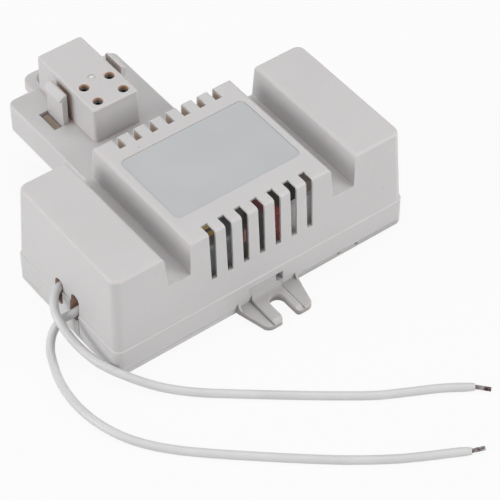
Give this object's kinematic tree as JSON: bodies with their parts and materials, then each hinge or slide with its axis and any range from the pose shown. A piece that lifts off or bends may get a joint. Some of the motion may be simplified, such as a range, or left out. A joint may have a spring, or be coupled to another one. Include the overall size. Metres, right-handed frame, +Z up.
{
  "type": "fluorescent ballast",
  "caption": "White vented box ballast for a ring-shaped fluorescent lamp, with a rear arm that carries a lamp holder, a front fork lug and free supply wires.",
  "frame": {"origin": "under the middle of the rigid object, on the surface that it rests on", "axes": "+Z up, +Y along the arm towards the rear screw ear, -Y towards the fork lug, -X the side where the supply wires leave"},
  "size_m": [0.1058, 0.1654, 0.0332],
  "materials": {
    "white_plastic": "smooth moulded, satin",
    "label_paper": "blank film label, satin",
    "wire_sleeve": "smooth flexible sleeve",
    "tinned_copper": "tinned, dull",
    "contact_brass": "dull plated",
    "board_laminate": "paper laminate",
    "ferrite": "sintered, matt",
    "bobbin_plastic": "matt",
    "yellow_tape": "smooth tape",
    "copper_wire": "enamelled copper",
    "black_sleeve": "shrink sleeve",
    "red_epoxy": "dipped, glossy",
    "aluminium": "rolled sheet",
    "tan_case": "moulded case",
    "component_black": "moulded package",
    "resistor_body": "coated",
    "fuse_ceramic": "glazed",
    "terminal_plastic": "moulded"
  },
  "bodies": {
    "root": {"housing_cover": "white_plastic", "base_plate": "white_plastic", "arm_floor": "white_plastic", "rating_label": "label_paper", "supply_wire_rear": "wire_sleeve", "supply_wire_front": "wire_sleeve", "wire_end_rear": "tinned_copper", "wire_end_front": "tinned_copper", "contact_lead_1": "tinned_copper", "contact_lead_2": "tinned_copper", "contact_lead_3": "tinned_copper", "contact_lead_4": "tinned_copper", "lamp_contact_1": "contact_brass", "lamp_contact_2": "contact_brass", "lamp_contact_3": "contact_brass", "lamp_contact_4": "contact_brass", "circuit_board": "board_laminate", "choke_core_left": "ferrite", "choke_core_right": "ferrite", "filter_spool": "ferrite", "drive_ring": "ferrite", "choke_bobbin": "bobbin_plastic", "choke_winding": "yellow_tape", "filter_winding": "copper_wire", "reservoir_capacitor": "black_sleeve", "film_capacitor_front": "red_epoxy", "film_capacitor_side": "red_epoxy", "disc_capacitor": "red_epoxy", "heat_sink": "aluminium", "line_capacitor": "tan_case", "snubber_capacitor": "tan_case", "rectifier_diode_1": "component_black", "rectifier_diode_2": "component_black", "rectifier_diode_3": "component_black", "rectifier_diode_4": "component_black", "power_transistor_1": "component_black", "power_transistor_2": "component_black", "resistor_1": "resistor_body", "resistor_2": "resistor_body", "resistor_3": "resistor_body", "line_fuse": "fuse_ceramic", "supply_terminal": "terminal_plastic"}
  },
  "joints": []
}
